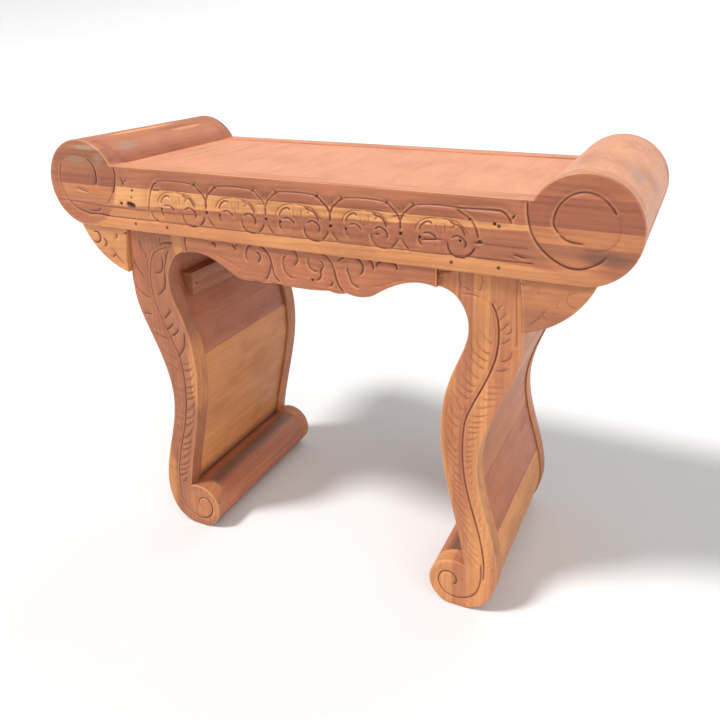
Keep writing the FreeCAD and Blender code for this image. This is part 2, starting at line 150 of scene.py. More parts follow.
class BenchStage(bpy.types.PropertyGroup):
    """The floor and the light"""

    floor: tone("Floor", "Colour of the floor", 222, 222, 222)
    key: strength("Key light", "Soft light from high on the left", 2.9)
    fill: strength("Fill light", "Wide light from low on the right", 0.85)
    rim: strength("Rim light", "Soft light from behind", 0.5)
    sky: strength("Surround", "White light from all round", 0.42)


# ---------------------------------------------------------------- materials

WORK = ("carve", "wear_and_highlight")  # what a carved mesh keeps at each point: depth of cut, and rubbing with a painted highlight


class Flow:
    """A socket that carries a number: arithmetic on it adds Math nodes."""

    def __init__(self, finish, socket):
        self.finish = finish
        self.socket = socket

    def math(self, operation, *values):
        """Adds a Math node."""
        return self.finish.add("ShaderNodeMath", {"operation": operation}, dict(enumerate(values)))

    def __add__(self, other):
        return self.math("ADD", self, other)

    def __radd__(self, other):
        return self.math("ADD", other, self)

    def __sub__(self, other):
        return self.math("SUBTRACT", self, other)

    def __rsub__(self, other):
        return self.math("SUBTRACT", other, self)

    def __mul__(self, other):
        return self.math("MULTIPLY", self, other)

    def __rmul__(self, other):
        return self.math("MULTIPLY", other, self)

    def __pow__(self, other):
        return self.math("POWER", self, other)

    def step(self, low, high):
        """0 below low, 1 above high and smooth between them."""
        return self.finish.add(
            "ShaderNodeMapRange", {"interpolation_type": "SMOOTHSTEP"},
            {"Value": self, "From Min": low, "From Max": high},
        )


def opaque(colour):
    """A colour as a socket takes it, or the link that brings one."""
    return colour if isinstance(colour, Flow) else (*colour, 1.0)


class Finish:
    """A material and its nodes."""

    def __init__(self, name):
        self.material = bpy.data.materials.new(name)
        self.material.use_nodes = True
        self.tree = self.material.node_tree
        self.tree.nodes.clear()

    def add(self, kind, settings=None, sockets=None, out=0):
        """Adds a node of any kind, sets it up and gives one of its outputs."""
        node = self.tree.nodes.new(kind)
        for key, value in (settings or {}).items():
            setattr(node, key, value)
        for key, value in (sockets or {}).items():
            if isinstance(value, Flow):
                self.tree.links.new(value.socket, node.inputs[key])
            else:
                node.inputs[key].default_value = value
        return Flow(self, node.outputs[out]) if node.outputs else None

    def mix(self, share, first, second, blend="MIX"):
        """Two colours mixed, or multiplied, by a share."""
        return self.add(
            "ShaderNodeMix", {"data_type": "RGBA", "blend_type": blend},
            {0: share, 6: opaque(first), 7: opaque(second)}, out=2,
        )

    def vector(self, operation, *values, out=0):
        """Arithmetic on places."""
        settings = {"operation": operation}
        return self.add("ShaderNodeVectorMath", settings, dict(enumerate(values)), out)

    def noise(self, place, stretch, detail=2.0, roughness=0.5):
        """A cloudy pattern with so many features to the metre along x, y and z."""
        scaled = self.vector("MULTIPLY", place, stretch)
        return self.add(
            "ShaderNodeTexNoise", {},
            {"Vector": scaled, "Scale": 1.0, "Detail": detail, "Roughness": roughness},
        )

    def bump(self, height, strength, reach):
        """The surface's fine relief."""
        sockets = {"Strength": strength, "Distance": reach, "Height": height}
        return self.add("ShaderNodeBump", {}, sockets)

    def surface(self, sockets):
        """The shader itself, joined to the output."""
        shader = self.add("ShaderNodeBsdfPrincipled", {}, sockets)
        self.add("ShaderNodeOutputMaterial", {}, {"Surface": shader})
        return self.material


class Layer(NamedTuple):
    """Where the colour changes across a board, how that line leans, blurs and sways along the grain."""

    at: float
    colour: tuple
    lean: float = 0.0
    soft: float = 0.3 * MM
    sway: float = 0.0


class Patch(NamedTuple):
    """A spot of other timber: its centre and half sizes, its colour and layers, and its rim."""

    centre: tuple
    sizes: tuple
    colour: tuple
    layers: tuple = ()
    soft: float = 0.4
    share: float = 1.0
    ragged: float = 0.5


def spots(face, reach, rows):
    """Patches on a board's front: x, z, half width, half height, colour, softness and share of each."""
    return [
        Patch((x, face, z), (wide, reach, high), colour, soft=soft, share=share)
        for x, z, wide, high, colour, soft, share in rows
    ]


class Grain:
    """Where a point lies in a board, and the patterns that its grain makes."""

    RINGS = 130.0  # growth rings to the metre
    SHIFT = (0.37, 0.23, 0.51)  # how far each seed moves the patterns

    def __init__(self, finish, grain, across, seed):
        self.finish = finish
        axes = "xyz"
        order = [axes.index(grain), axes.index(across)]
        order += [i for i in range(3) if i not in order]
        self.lengthways = order[0]
        self.place = finish.add("ShaderNodeTexCoord", out="Object")
        self.shifted = finish.vector("ADD", self.place, [seed * part for part in self.SHIFT])
        parts = finish.add("ShaderNodeSeparateXYZ", {}, {0: self.place}).socket.node
        self.along, self.over, deep = (Flow(finish, parts.outputs[i]) for i in order)

        # Each pattern has so many features to the metre along the grain, and so many over it
        self.drift = self.noise(2.2, 9.0) - 0.5
        self.stripes = self.noise(1.7, 42.0, 3.0, 0.55)
        self.lines = self.noise(5.0, 260.0, 2.0, 0.6)
        self.blotches = self.noise(6.0, 13.0, 3.0)
        self.mottles = self.noise(14.0, 24.0, 4.0, 0.6)
        self.fibre = self.noise(18.0, 700.0, 2.0, 0.6)
        self.flecks = self.noise(60.0, 1500.0, 1.0).step(0.62, 0.74)
        # The tree's heart lies under the board, a little to one side
        off_heart = self.over - math.sin(seed * 2.4) * 0.05
        under_heart = deep + (0.07 + 0.02 * math.cos(seed * 1.7))
        radius = (off_heart * off_heart + under_heart * under_heart) ** 0.5 + self.drift * 0.05
        rings = radius * self.RINGS
        ring = rings.math("FRACT", rings)
        self.late = ring.step(0.35, 0.9) * (1.0 - ring.step(0.92, 1.0))

    def noise(self, along, over, detail=2.0, roughness=0.5):
        """Clouds drawn out along the grain."""
        stretch = tuple(along if i == self.lengthways else over for i in range(3))
        return self.finish.noise(self.shifted, stretch, detail, roughness)

    def layered(self, colour, layers):
        """A colour with the board's layers laid over it, from the lowest up."""
        for layer in layers:
            edge = self.over - self.along * layer.lean - layer.at
            if layer.sway:
                edge = edge + (self.drift + (self.stripes - 0.5) * 0.5) * layer.sway
            colour = self.finish.mix(edge.step(-layer.soft, layer.soft), colour, layer.colour)
        return colour

    def inside(self, patch):
        """1 in the middle of a patch and 0 outside it."""
        offset = self.finish.vector("SUBTRACT", self.place, patch.centre)
        scaled = self.finish.vector("DIVIDE", offset, patch.sizes)
        far = self.finish.vector("LENGTH", scaled, out=1)
        if patch.ragged:
            far = far + (self.stripes - 0.5) * patch.ragged + (self.lines - 0.5) * patch.ragged
        return far.step(1.0, 1.0 - patch.soft) * patch.share


def teak(
    name, colour, grain, across, seed, layers=(), patches=(), carved=False, figure=1.0, mottle=0.4
):
    """Planed and varnished teak. Grain and across name the axes along and over the board.

    A seed sets its grain apart. Figure and mottle say how strongly its patterns show.
    """
    timber = bpy.context.scene.bench_timber
    finish = Finish(name)
    wood = Grain(finish, grain, across, seed)

    surface = wood.layered(colour, layers)
    for patch in patches:
        other = wood.layered(patch.colour, patch.layers)
        surface = finish.mix(wood.inside(patch), surface, other)
    # How much each pattern shows, and what it multiplies the colour by
    for shown, tint in (
        (wood.stripes.step(0.42, 0.72) * (0.75 * figure), (1.16, 1.15, 1.10)),
        (wood.stripes.step(0.55, 0.30) * (0.60 * figure), (0.78, 0.69, 0.64)),
        (wood.blotches.step(0.45, 0.80) * (0.55 * figure), (0.82, 0.76, 0.74)),
        (wood.mottles.step(0.50, 0.68) * mottle, (1.10, 1.12, 1.12)),
        (wood.mottles.step(0.50, 0.34) * mottle, (0.84, 0.77, 0.74)),
        (wood.late * wood.blotches.step(0.25, 0.6) * (0.32 * figure), (0.68, 0.55, 0.48)),
        (wood.lines.step(0.50, 0.76) * (0.10 + 0.34 * figure), (0.70, 0.60, 0.54)),
        (wood.fibre.step(0.40, 0.80) * (0.08 + 0.20 * figure), (0.74, 0.66, 0.62)),
        (wood.flecks * (0.15 + 0.25 * figure), (0.55, 0.44, 0.38)),
    ):
        surface = finish.mix(shown, surface, tint, "MULTIPLY")
    roughness = timber.roughness + (wood.fibre - 0.5) * 0.20 + wood.flecks * 0.12
    height = wood.fibre * 0.5 + wood.lines * 0.4 - wood.flecks * 0.6 + wood.late * 0.15
    if carved:
        groove, wear_and_highlight = (
            finish.add("ShaderNodeAttribute", {"attribute_name": key}, out="Fac") for key in WORK
        )
        # Worn edges and the lip beside each cut lighten: real rubbing, with a painted highlight
        rubbed_and_highlit = wear_and_highlight.step(0.25, 0.9) * wood.blotches.step(0.3, 0.6) * 0.5
        surface = finish.mix(rubbed_and_highlit, surface, timber.worn)
        # Darker towards the cuts' bottoms: staining settled in them, together with painted shade
        darkening = groove.step(0.10, 0.45) * (0.6 + wood.mottles.step(0.3, 0.6) * 0.4)
        surface = finish.mix(darkening, surface, timber.stain_and_shade, "MULTIPLY")
        roughness = roughness + groove * 0.15
    return finish.surface({
        "Base Color": surface,
        "Roughness": roughness,
        "Coat Weight": timber.varnish,
        "Coat Roughness": 0.28,
        "IOR": 1.48,
        "Normal": finish.bump(height, 0.5, 0.12 * MM),
    })


def nail_steel():
    """Rusted steel of the nail heads."""
    finish = Finish("nail_steel")
    place = finish.add("ShaderNodeTexCoord", out="Object")
    rust = finish.noise(place, (900.0, 900.0, 900.0), 3.0, 0.6).step(0.42, 0.62)
    return finish.surface({
        "Base Color": finish.mix(rust, linear(116, 84, 62), linear(92, 58, 40)),
        "Metallic": 0.4 - rust * 0.3,
        "Roughness": 0.5 + rust * 0.3,
        "Normal": finish.bump(rust, 0.4, 0.1 * MM),
    })


# ---------------------------------------------------------------- carving


def smooth_line(points):
    """The points of a smooth curve through a few given ones, in millimetres."""
    gap = 0.6
    given = [np.array(p, float) for p in points]
    padded = [2 * given[0] - given[1], *given, 2 * given[-1] - given[-2]]
    line = [given[0]]
    for before, start, end, after in zip(padded, padded[1:], padded[2:], padded[3:]):
        steps = max(1, math.ceil(np.linalg.norm(end - start) / gap))
        for i in range(1, steps + 1):
            t = i / steps
            line.append(0.5 * (
                2 * start + (end - before) * t
                + (2 * before - 5 * start + 4 * end - after) * t * t
                + (3 * start - before - 3 * end + after) * t ** 3
            ))
    return np.array(line)


def arc_line(x, z, radius, start, end):
    """Points on an arc from one angle to another, in degrees."""
    count = math.ceil(abs(end - start) / 20)
    angles = np.radians(np.linspace(start, end, count + 1))
    return [(x + radius * math.cos(angle), z + radius * math.sin(angle)) for angle in angles]


class Relief:
    """The depth of cut over one board's face, kept as fine maps in its plane, in millimetres.

    cuts holds the gouge cuts, edges the worn outline, form the ground and the leaves that are
    pressed down beside the cuts, and lip_wear_and_highlight how much the lip beside each cut is
    lightened: rubbing, with a painted highlight.
    """

    STEP = 0.5  # between the points of the maps
    MARGIN = 6  # of the maps round the board
    TAPER = 4.0  # over which a cut runs out at its ends
    EDGE_GAP = 3.5  # between the leaves and the board's edge

    def __init__(self, low, high, rim, carving):
        self.low = np.array([low.x, low.z]) / MM - self.MARGIN
        beyond_high = np.array([high.x, high.z]) / MM + self.MARGIN
        cells = ((beyond_high - self.low) / self.STEP).astype(int) + 2
        self.cuts, self.edges, self.form, self.lip_wear_and_highlight = (np.zeros(cells) for _ in range(4))
        self.across, self.heights = (
            start + np.arange(count) * self.STEP for start, count in zip(self.low, cells)
        )
        self.rim = rim
        self.depth = carving.depth / MM
        self.leaf = carving.leaf / MM
        self.width = carving.width / MM
        self.rounding = carving.rounding / MM

    def span(self, height):
        """Where the board's left and right edges are at a height."""
        x1, z1, x2, z2 = self.rim.T
        crosses = ((z1 - height) * (z2 - height) <= 0) & (abs(z2 - z1) > 1e-6)
        part = (height - z1[crosses]) / (z2[crosses] - z1[crosses])
        places = x1[crosses] + part * (x2[crosses] - x1[crosses])
        return places.min(), places.max()

    def press(self, depths, centre, reach, profile):
        """Lowers one map round a centre by a profile of the distance."""
        middle = (np.asarray(centre) - self.low) / self.STEP
        wide = reach / self.STEP
        first = np.maximum(np.floor(middle - wide).astype(int), 0)
        last = np.minimum(np.ceil(middle + wide).astype(int) + 1, depths.shape)
        if np.any(last <= first):
            return
        i = np.arange(first[0], last[0])[:, None] - middle[0]
        k = np.arange(first[1], last[1])[None, :] - middle[1]
        window = depths[first[0]:last[0], first[1]:last[1]]
        np.maximum(window, profile(np.hypot(i, k) * self.STEP), out=window)

    def groove(self, points, width=1.0, depth=1.0):
        """One gouge cut along a smooth curve, shallower at both ends, its outer side cut away.

        width and depth are shares of a full cut's.
        """
        line = smooth_line(points)
        steps = np.diff(line, axis=0)
        run = np.concatenate([[0], np.cumsum(np.linalg.norm(steps, axis=1))])
        turning = np.sum(steps[:-1, 0] * steps[1:, 1] - steps[:-1, 1] * steps[1:, 0])
        way = np.gradient(line, axis=0)
        way /= np.linalg.norm(way, axis=1)[:, None]
        outward = np.stack([way[:, 1], -way[:, 0]], axis=1) * np.sign(turning)
        for place, done, out in zip(line, run, outward):
            fade = min(1.0, (min(done, run[-1] - done) + 0.6) / self.TAPER) ** 0.6
            half = self.width * width * (0.28 + 0.22 * fade)
            deep = self.depth * depth * fade

            def profile(distance):
                return deep * 0.62 * np.clip(1 - distance / half, 0, 1) ** 1.1

            def shoulder(distance):
                return deep * 0.5 * np.exp(-(distance / (2.0 * half)) ** 2)

            def lip(distance):
                return fade * depth * np.exp(-((distance / half - 1.2) / 0.35) ** 2)

            self.press(self.cuts, place, half, profile)
            # A painted highlight along each cut's outer lip, partly standing for rubbing; it changes
            # only the colour
            self.press(self.lip_wear_and_highlight, place + 0.5 * half * out, 2.2 * half, lip)
            self.press(self.form, place + 1.4 * half * out, 5.0 * half, shoulder)

    def grooves(self, lines, width=1.0, depth=1.0):
        """Several gouge cuts of one width and depth."""
        for points in lines:
            self.groove(points, width, depth)

    def dent(self, x, z, radius, depth=1.0):
        """A round punch mark, a knot hole or the eye of a volute."""
        deep = self.depth * depth
        self.press(
            self.cuts, (x, z), 3 * radius, lambda distance: deep * np.exp(-(distance / radius) ** 4)
        )

    def ledge(self, first, last, height, drop, run):
        """Lowers the field over a level line, most of all at the line."""
        ease_in = 20
        over = self.heights - height
        ends = np.clip((self.across - first) / ease_in, 0, 1)
        ends *= np.clip((last - self.across) / ease_in, 0, 1)
        step = np.where(over > 0, np.exp(-abs(over) / run), 0.0)
        np.maximum(self.form, drop * np.outer(ends, step), out=self.form)

    def leaves(self, vein, sign, spacing, lift, growth, top):
        """Overlapping leaves on one side of a vein, each one's lower edge proud of the next."""
        full_spacing, least_room, bare_foot, start = 13, 7, 20, 0.08
        small = min(1.0, spacing / full_spacing)
        foot = vein[:, 1].min() + bare_foot
        for k, height in enumerate(self.heights):
            if not foot < height < top:
                continue
            middle = np.interp(height, vein[::-1, 1], vein[::-1, 0])
            room = abs(self.span(height)[sign > 0] - middle) - self.EDGE_GAP
            if room < least_room:
                continue
            out = (self.across - middle) * sign / room
            inside = (out > start) & (out < 1)
            out = out[inside]
            # rise goes from 0 to 1 up each leaf, and bow bends the leaves up towards the board's edge
            bow = (lift + growth * (top - height)) * (out ** 1.3 - 0.2 * np.sin(math.pi * out))
            uneven = 0.35 * math.sin(height / 23 + 2 * sign) + 0.2 * math.sin(height / 7.3)
            rise = ((height - bow) / spacing + 0.31 * sign + uneven) % 1.0
            fade = np.clip((out - start) / 0.12, 0, 1) * np.clip((1 - out) / 0.3, 0, 1)
            fade = fade * min(1.0, (top - height) / 15)
            step = self.leaf * small * fade * (rise ** 1.5) * np.clip((1 - rise) / 0.12, 0, 1)
            self.form[inside, k] = np.maximum(self.form[inside, k], step)
            firm = 0.20 + 0.08 * math.sin(height / 11 + sign) + 0.05 * math.sin(height / 4.1)
            crease = np.clip(1 - abs(rise - 0.93) / 0.09, 0, 1)
            crease = firm * small * self.depth * fade * crease
            self.cuts[inside, k] = np.maximum(self.cuts[inside, k], crease)

    def round_rim(self):
        """Wears the outline's edges round."""
        radius = self.rounding

        def profile(distance):
            inward = np.clip(radius - distance, 0, radius)
            return 0.75 * (radius - np.sqrt(radius ** 2 - inward ** 2))

        for x1, z1, x2, z2 in self.rim:
            steps = max(1, math.ceil(math.hypot(x2 - x1, z2 - z1) / 0.4))
            for t in np.linspace(0, 1, steps + 1):
                self.press(self.edges, (x1 + (x2 - x1) * t, z1 + (z2 - z1) * t), radius, profile)

    def read(self, depths, places):
        """A map's values at places given in millimetres."""
        at = (places - self.low) / self.STEP
        cell = np.clip(np.floor(at).astype(int), 0, np.array(depths.shape) - 2)
        part = np.clip(at - cell, 0, 1)
        i, k = cell.T
        u, v = part.T
        lower = depths[i, k] * (1 - u) + depths[i + 1, k] * u
        upper = depths[i, k + 1] * (1 - u) + depths[i + 1, k + 1] * u
        return lower * (1 - v) + upper * v


def placed(points, sign=1, move=0.0):
    """The same points, mirrored where the sign is -1, then moved sideways."""
    return [(sign * x + move, z) for x, z in points]


# A cut is its points, along and up the board in millimetres. The frieze's are given round an arch's
# middle or a fan's foot, each with its shares of a full cut's width and depth.
ARCH = (
    (((-29, 541), (-18, 542.6), (0, 543.3), (18, 542.6), (29, 541)), 0.9, 0.75),
    (((-35, 530), (-17, 530.6), (0, 530.6), (17, 530.6), (35, 530)), 0.8, 0.45),
    (((-30, 511), (-28, 518), (-22, 524.5), (-12, 528), (0, 528.5)), 0.8, 0.6),
    (((0, 528.5), (12, 527.8), (22, 524.6), (29, 518), (32.5, 511)), 0.8, 0.7),
    (((-25, 511.5), (-22.5, 518), (-17.5, 522.6), (-12, 523.6), (-8.5, 520.5)), 1.0, 1.0),
    (((10.5, 527), (16.5, 523.6), (22.5, 521.8), (27, 516), (29, 510)), 1.0, 1.0),
    (((18, 523), (13.5, 518.5)), 0.9, 0.8),
    (((-4.5, 525), (-4.2, 518), (-2, 510.5)), 0.7, 0.6),
    (((0.8, 521), (1.2, 514), (0.6, 508)), 0.7, 0.5),
    (((5.5, 525), (6, 518), (4.4, 510.5)), 0.7, 0.6),
    (((-21, 509.5), (-13.5, 511), (-7.5, 508.8), (-3, 503.6)), 1.0, 1.0),
    (((-24, 507), (-24.4, 500.5), (-20.5, 495)), 1.0, 0.9),
    (((12, 507), (19, 510.6), (26, 508.2), (29.8, 503.2), (28.6, 497)), 1.0, 0.9),
    (((9, 503.5), (9.8, 496), (13.5, 489.6), (21, 486.4), (31, 486.6)), 1.0, 1.0),
    (((-4, 501), (-4.6, 493)), 0.7, 0.5),
)
FAN = (
    (((-13.5, 543.5), (-17.5, 540.6), (-14, 538.6), (-8, 533), (-3, 528), (-0.5, 521)), 1.0, 1.0),
    (((-3, 529), (-5.5, 535), (-6.5, 541)), 0.7, 0.55),
    (((-0.5, 529), (-1, 535), (-0.5, 542)), 0.7, 0.55),
    (((2.5, 529), (4.4, 535), (5, 541)), 0.7, 0.55),
    (((0, 526), (0.3, 518), (0, 510)), 1.1, 0.9),
    (((-2.6, 500.5), (-5.5, 494.5), (-12, 487.4)), 1.0, 0.9),
)
FAN_PLACES = (-133, -43, 47, 137)
ARCH_PLACES = (-181, -88, 2, 92, 185)
UNDER_ARCH = 528  # the height under which an arch's volutes lie


def cut_frieze(relief):
    """The five linked arches along the rail, no two quite alike."""
    for middle in ARCH_PLACES:
        stretch = 1 + 0.03 * math.sin(middle)
        drop = 0.7 * math.cos(1.3 * middle)
        for points, width, depth in ARCH:
            own = [(middle + stretch * x, z + drop * (z < UNDER_ARCH)) for x, z in points]
            relief.groove(own, width, depth)
        relief.dent(middle - 24, 505, 1.6, 1.1)
    for foot in FAN_PLACES:
        for points, width, depth in FAN:
            relief.groove(placed(points, 1, foot), width, depth)
        for points, width, depth in (FAN[0], FAN[-1]):
            relief.groove(placed(points, -1, foot), width, depth)
        relief.dent(foot + 1, 506.5, 1.8, 1.0)


def cut_frieze_ends(relief):
    """Where the arches run out towards the scrolls."""
    relief.grooves((
        ((-229, 500), (-225.5, 514), (-221.5, 527), (-215, 537), (-208, 540)),
        ((-220, 529), (-205, 529.6)),
        ((-224, 499), (-220, 491), (-211, 486.6)),
        ((-272, 541), (-268.6, 537), (-267, 530)),
        ((-262, 540), (-266, 536)),
        ((203, 541), (213, 535), (220.5, 530), (226, 521), (229.5, 509)),
        ((226, 500), (221, 492), (213, 487)),
        ((205, 542), (228, 542.6), (250, 543), (257, 541), (262, 535.5), (265.5, 529)),
        ((264.5, 534), (269, 541)),
    ))


def cut_scrolls(relief):
    """The spirals on the rail's round ends and the line that joins them."""
    relief.grooves((
        ((-376, 557), (-380.6, 545), (-382.6, 530), (-378, 514), (-367.6, 500), (-352, 491),
         (-335, 487.6), (-316, 488), (-296, 486.6)),
        ((-329, 564.6), (-318.6, 556), (-315, 545), (-315.6, 534), (-319, 529)),
        ((-282, 556), (-280.6, 545), (-283.6, 530), (-288.6, 518)),
        ((281, 556), (282, 540), (288, 520), (301, 503), (320, 491), (338, 488.6), (356, 496.6),
         (364, 505)),
        ((316, 523.4), (309.6, 532), (309.4, 542), (314, 554), (324, 564.6), (338, 569.4),
         (352, 566.6), (364, 557.6), (371, 548)),
        ((315, 524), (324, 517.6), (341, 515.6)),
    ), 0.9, 1.0)
    relief.grooves((
        ((371, 548), (375.4, 537), (374.6, 524), (368, 515), (356, 510), (341, 509)),
        ((-376, 557), (-366, 564.6), (-346, 568.4), (-329, 564.6)),
        ((-284, 529), (-291, 514), (-300, 504)),
        ((232, 505), (262, 504.6), (286, 505)),
        ((264, 500), (280, 496), (290, 495)),
        ((262, 494), (276, 490)),
    ), 0.7, 0.45)
    relief.groove([(-300, 486.6), (-150, 486.8), (0, 487), (150, 487.6), (292, 489)], 0.8, 0.7)
    relief.ledge(-310, 300, 487.6, 0.9, 6.0)
    relief.groove([(-393, 504), (-360, 502.6), (-305, 500.6), (-230, 500), (-140, 502)], 0.6, 0.6)


def cut_knots(relief):
    """Small splits and knot holes left in the rail's timber."""
    for x, z, radius in (
        (-261, 507.4, 3.0), (-257, 506.4, 3.4), (-253, 505.2, 3.0), (-274, 506.8, 2.2),
        (-255, 516.6, 1.4), (231, 506.6, 1.9), (247, 528.4, 1.9), (219, 530.4, 1.4),
        (209, 505.6, 1.3),
    ):
        relief.dent(x, z, radius)
    relief.grooves((
        ((-56, 524), (-43, 525)),
        ((127, 526), (145, 527.6)),
        ((104, 502.4), (112, 503)),
        ((163, 502.4), (188, 504.6)),
        ((224, 505), (236, 505.4)),
        ((-352, 521), (-341, 519), (-332, 517)),
        ((-333, 492.6), (-322, 492), (-312, 497)),
        ((268, 496.6), (283, 493)),
    ), 0.55, 1.0)


def cut_rail(relief):
    """All that is carved in the front rail."""
    for cut in (cut_frieze, cut_frieze_ends, cut_scrolls, cut_knots):
        cut(relief)


APRON_CUTS = (
    ((-176, 471), (-176.6, 460), (-175, 446)),
    ((-135, 466), (-126, 462)),
    ((-129, 468), (-127, 459)),
    ((-102, 467), (-97, 463), (-95, 458)),
    ((-92, 469), (-96, 463)),
    ((-77, 446), (-79.4, 452), (-78.6, 461), (-74, 468), (-67, 470)),
    ((-60, 470), (-52, 466), (-46, 459), (-42.6, 451), (-41, 442), (-38, 432), (-30, 423)),
    ((-66, 460), (-61, 459), (-58, 453.6), (-61.6, 446)),
    ((-43, 446), (-45.6, 436), (-52, 424)),
    ((-10, 470.6), (-5, 465), (-3.6, 456.6), (-8.6, 448)),
    ((-19, 461), (-24, 456), (-23.6, 445), (-20, 436.6), (-10, 431.4)),
    ((12, 463), (12, 455), (14.6, 449), (19.6, 445.8), (25, 445.6)),
    ((27, 460), (32, 457), (32.4, 452), (29, 447), (29, 440), (26, 435.6), (21, 434)),
    ((30, 469.6), (37, 467), (43.6, 459), (47.6, 450), (50, 440), (54, 430), (61, 422)),
    ((46, 435), (41, 427)),
    ((75, 470.6), (82, 467), (86.4, 460), (86, 453), (82, 448)),
    ((67, 457), (66, 451.6), (69, 445), (71, 438), (76, 433.6), (82, 432)),
    ((94, 469), (98.6, 465), (101, 456)),
    ((103, 461), (107, 467), (115, 469.6), (125, 469), (130, 465), (131, 459.6)),
    ((52, 462), (58, 466), (63, 469.6)),
)
APRON_FAINT_CUTS = (
    ((-125, 449), (-113, 445), (-100, 439.6), (-87, 435)),
    ((100, 436), (115, 440.6), (130, 447), (141, 449.6)),
)


def cut_apron(relief):
    """The volutes on the front apron."""
    relief.grooves(APRON_CUTS)
    relief.grooves(APRON_FAINT_CUTS, 0.8, 0.5)
    relief.dent(17.6, 433.6, 1.6)


# The leg's main vein, drawn on the right leg and mirrored for the left
VEIN = (
    (231, 441), (240, 434.6), (247, 418), (249.6, 396), (247.6, 371), (241, 348), (231, 324),
    (220, 300), (212, 277), (209.4, 250), (210, 222), (213.4, 195), (220, 166), (229, 135),
    (236.6, 106), (241, 76), (241, 50), (236, 30), (224, 17.6), (205, 12.4), (190, 18.6),
    (183.6, 33), (188, 46), (198, 50), (206.6, 45), (208.6, 37), (204, 31),
)
VEIN_RISING = 17  # the points before the vein turns in to the foot's spiral
VEIN_COMPANION = 3.6  # from the vein to the thin stem beside it
INNER_LINE_GAP = 6.5  # from the leg's inner edge to the line cut along it
INNER_LINE_HEIGHTS = range(90, 320, 20)
# Each side of the vein: the leaves' spacing, their rise outwards, its growth downwards, their top
LEAVES = {
    "left": {-1: (21.0, 13.0, 0.0, 330.0), 1: (13.5, 12.0, 0.03, 285.0)},
    "right": {-1: (12.5, 26.0, 0.0, 405.0), 1: (9.5, 4.0, 0.07, 342.0)},
}
# The depths of the vein and of the stem, and of the cuts over the vine
VEIN_DEPTHS = {"left": (1.0, 0.3), "right": (0.4, 1.0)}
LEG_TOP_DEPTHS = {"left": 0.85, "right": 0.6}
LEG_TOP_CUTS = {
    "right": (
        ((198, 467), (189, 465), (181, 463), (177, 459), (179, 455.6), (186, 457)),
        ((205.6, 468), (204.6, 460), (206.6, 452), (205.6, 443), (207, 430)),
        ((184.4, 449), (185.4, 444), (190, 441)),
        ((230.6, 467), (232.4, 460), (231, 452), (229.4, 445)),
        ((207.6, 440), (215, 441), (224, 440.6), (231, 438)),
        ((209, 449), (213.6, 448), (220, 445)),
        ((247.6, 418), (252, 429), (258.6, 434.6)),
        ((250.4, 410), (256, 418), (262, 424)),
        ((250, 398), (257, 404), (265, 414)),
        ((268.4, 409.6), (266.4, 402), (260, 398)),
        ((252, 384), (260, 388), (268, 396)),
        ((254.6, 365), (261, 365.4), (267.6, 371), (269.6, 380)),
        ((250, 352), (258, 352.6), (266, 357)),
        ((271.6, 468), (272, 440), (273.4, 410), (274.4, 384)),
    ),
    "left": (
        ((-211.6, 445), (-217.6, 432), (-222.4, 415), (-223.4, 400), (-226.4, 387), (-238, 375.6)),
        ((-238, 408), (-229.6, 411), (-225, 419), (-224, 432)),
        ((-224.4, 462), (-227, 453)),
        ((-228, 451), (-223.4, 452.6), (-214.6, 455), (-203, 455)),
        ((-236.6, 438), (-228, 443), (-212.6, 449)),
        ((-263, 454), (-259.6, 443), (-254, 434), (-252, 427)),
        ((-277.6, 423), (-271, 411), (-263.6, 402), (-260, 395)),
        ((-280, 390), (-275, 379.6), (-265, 372.6), (-253.6, 368.6)),
        ((-270, 343), (-262, 343.4), (-254.6, 343)),
        ((-222.6, 357), (-221.4, 352.6), (-227, 346), (-232.4, 340)),
        ((-218, 334.6), (-228.4, 325.4), (-232.4, 328.4)),
        ((-210, 329.6), (-212.4, 323), (-222.4, 314.6)),
        ((-200.4, 323.4), (-202.6, 302.6), (-211, 289.4), (-217.6, 283)),
    ),
}


def cut_leg(relief, side):
    """A feathered vine up the leg."""
    sign = SIDES[side]
    vein = placed(VEIN, sign)
    stem = placed(VEIN[1:VEIN_RISING], sign, sign * VEIN_COMPANION)
    for points, depth in zip((vein[:VEIN_RISING], stem), VEIN_DEPTHS[side]):
        relief.groove(points, 0.9, depth)
    relief.groove(vein[VEIN_RISING - 2:], 0.9, 0.9)
    relief.grooves(LEG_TOP_CUTS[side], 0.9, LEG_TOP_DEPTHS[side])
    rising = smooth_line(vein[:VEIN_RISING])
    for way, leaf in LEAVES[side].items():
        relief.leaves(rising, way, *leaf)
    inner = [
        (min(relief.span(height), key=abs) + sign * INNER_LINE_GAP, height)
        for height in INNER_LINE_HEIGHTS
    ]
    relief.groove(inner, 0.6, 0.5)


def cut_bracket(relief, side, depth):
    """The hooked scroll on the bracket."""
    lines = (
        arc_line(335, 452, 8, 60, 300),
        arc_line(323, 445, 6, 80, 250),
        ((297, 462), (296, 457), (299, 452)),
        ((306, 438), (300, 428), (288, 416)),
        ((301, 431), (309, 424)),
        ((270, 467), (283, 462)),
    )
    relief.grooves([placed(points, SIDES[side]) for points in lines], 0.9, depth)


# ---------------------------------------------------------------- meshes


def merged_copy(node):
    """A piece's shape with its triangles joined up and its flat faces whole."""
    shape = bmesh.new()
    shape.from_mesh(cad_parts[node].data)
    bmesh.ops.remove_doubles(shape, verts=shape.verts, dist=WELD)
    bmesh.ops.dissolve_limit(shape, angle_limit=FLAT, verts=shape.verts, edges=shape.edges)
    return shape


def once(parts):
    """The same edges or points without repeats, in the order in which they come."""
    return list(dict.fromkeys(parts))


